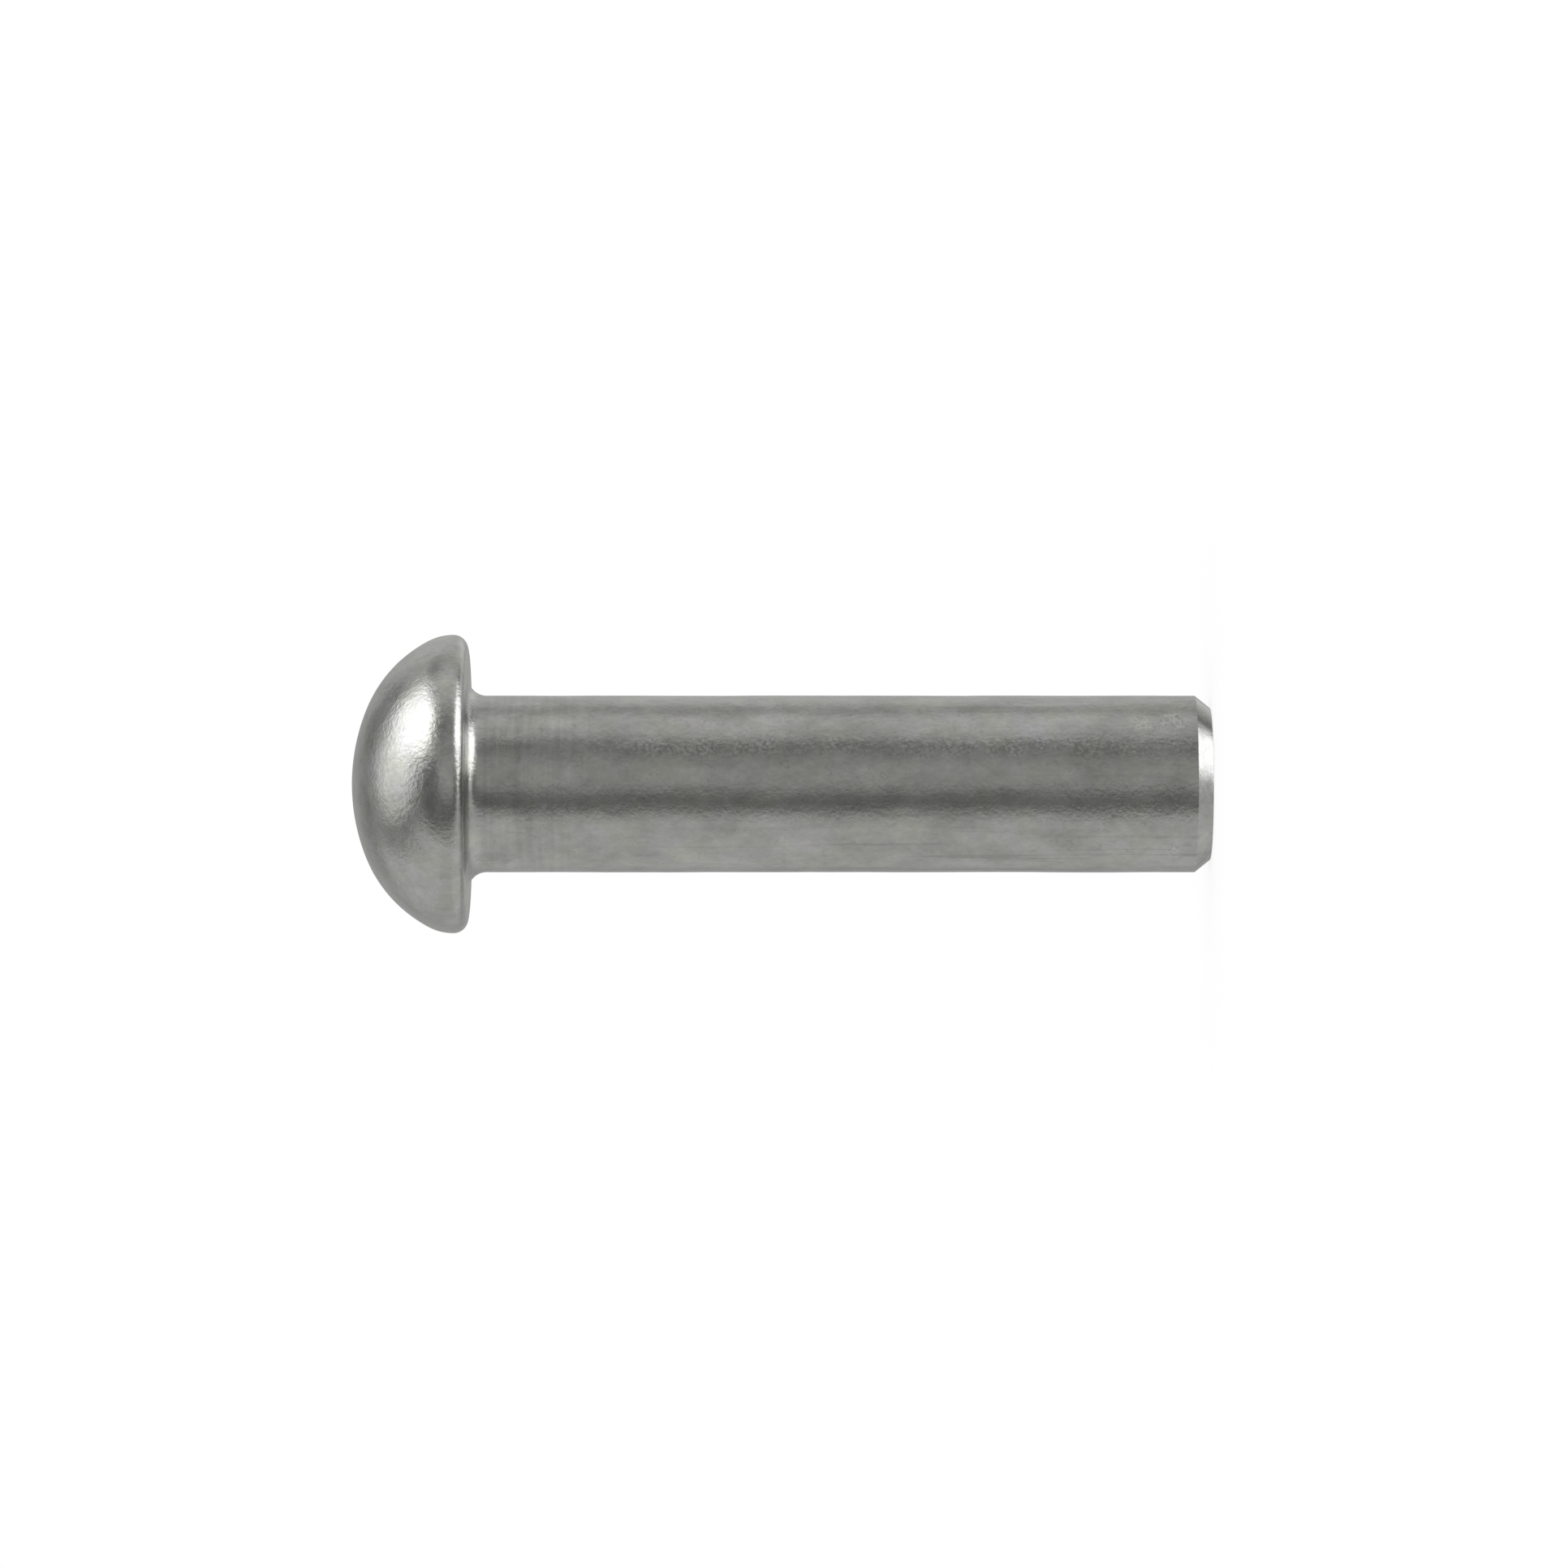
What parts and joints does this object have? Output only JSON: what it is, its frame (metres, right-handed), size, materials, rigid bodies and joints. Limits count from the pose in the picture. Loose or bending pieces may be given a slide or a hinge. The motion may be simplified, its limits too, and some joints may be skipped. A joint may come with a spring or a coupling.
{
  "type": "round head rivet",
  "caption": "Solid round head rivet with a domed head, a filleted neck and a plain cylindrical shank with a chamfered tail, for joining plates by upsetting its tail.",
  "frame": {"origin": "centre of the head's flat bearing face, where the rivet's length starts", "axes": "+Z along the shank's axis, from the tail towards the head; X and Y are free, because the rivet is round"},
  "size_m": [0.01, 0.01, 0.0289],
  "materials": {
    "steel": "satin"
  },
  "bodies": {
    "root": {"rivet": "steel"}
  },
  "joints": []
}
